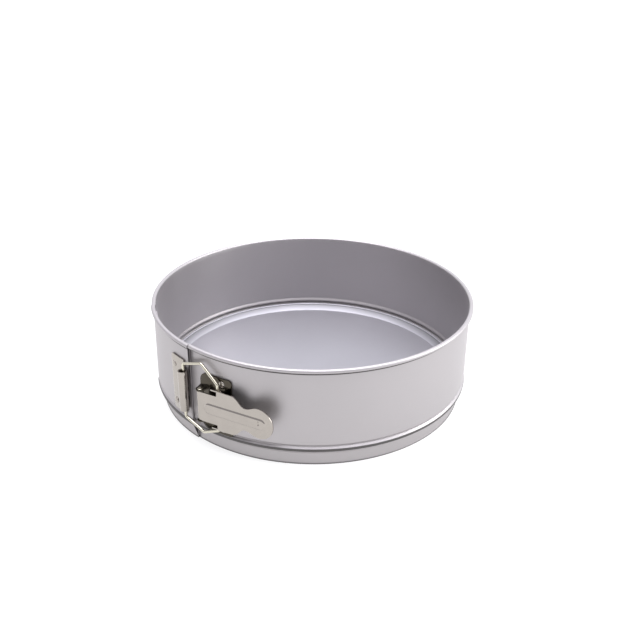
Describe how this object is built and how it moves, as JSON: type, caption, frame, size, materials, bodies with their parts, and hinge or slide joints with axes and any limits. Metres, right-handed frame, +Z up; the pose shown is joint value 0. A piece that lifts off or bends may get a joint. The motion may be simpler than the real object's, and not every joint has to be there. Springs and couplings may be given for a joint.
{
  "type": "springform pan",
  "caption": "Round springform cake pan: an aluminium band with a rolled rim, closed by a wire-bail toggle latch round a loose base disc.",
  "frame": {"origin": "middle of the underside of the pan with its latch, on the surface that it stands on; the pan's round axis is 3.95 mm towards +Y of it", "axes": "+Z up, -Y towards the front; the latch is at the front left, towards -X"},
  "size_m": [0.2388, 0.2466, 0.075],
  "materials": {
    "band_metal": "matt anodised",
    "base_metal": "matt anodised",
    "latch_metal": "bright nickel plate",
    "wire_metal": "bright drawn wire"
  },
  "bodies": {
    "pan": {"band_right": "band_metal", "latch_bracket": "latch_metal", "bracket_rivet_upper": "latch_metal", "bracket_rivet_lower": "latch_metal", "lever_pin": "wire_metal"},
    "left_end": {"band_left": "band_metal", "keeper_plate": "latch_metal", "keeper_rivet_upper": "latch_metal", "keeper_rivet_lower": "latch_metal"},
    "lever": {"latch_lever": "latch_metal"},
    "bail": {"bail_wire": "wire_metal"},
    "base": {"base_disc": "base_metal"}
  },
  "joints": [
    {"name": "lever_swing", "type": "hinge", "parent": "pan", "child": "lever", "pos_m": [-0.07374, -0.09462, 0.037], "axis": [0, 0, -1], "range_deg": [0, 120]},
    {"name": "bail_swing", "type": "hinge", "parent": "lever", "child": "bail", "pos_m": [-0.06159, -0.10052, 0.037], "axis": [0, 0, -1], "range_deg": [-97.6, 0]},
    {"name": "ring_open", "type": "hinge", "parent": "pan", "child": "left_end", "pos_m": [0, 0.12355, 0], "axis": [0, 0, -1], "range_deg": [0, 4]},
    {"name": "base_lift", "type": "slide", "parent": "pan", "child": "base", "axis": [0, 0, 1], "range_m": [0, 0.09]}
  ],
  "couplings": [
    {"joint": "bail_swing", "follows": "lever_swing", "ratio": -0.80946},
    {"joint": "ring_open", "follows": "lever_swing", "ratio": 0.0329}
  ]
}
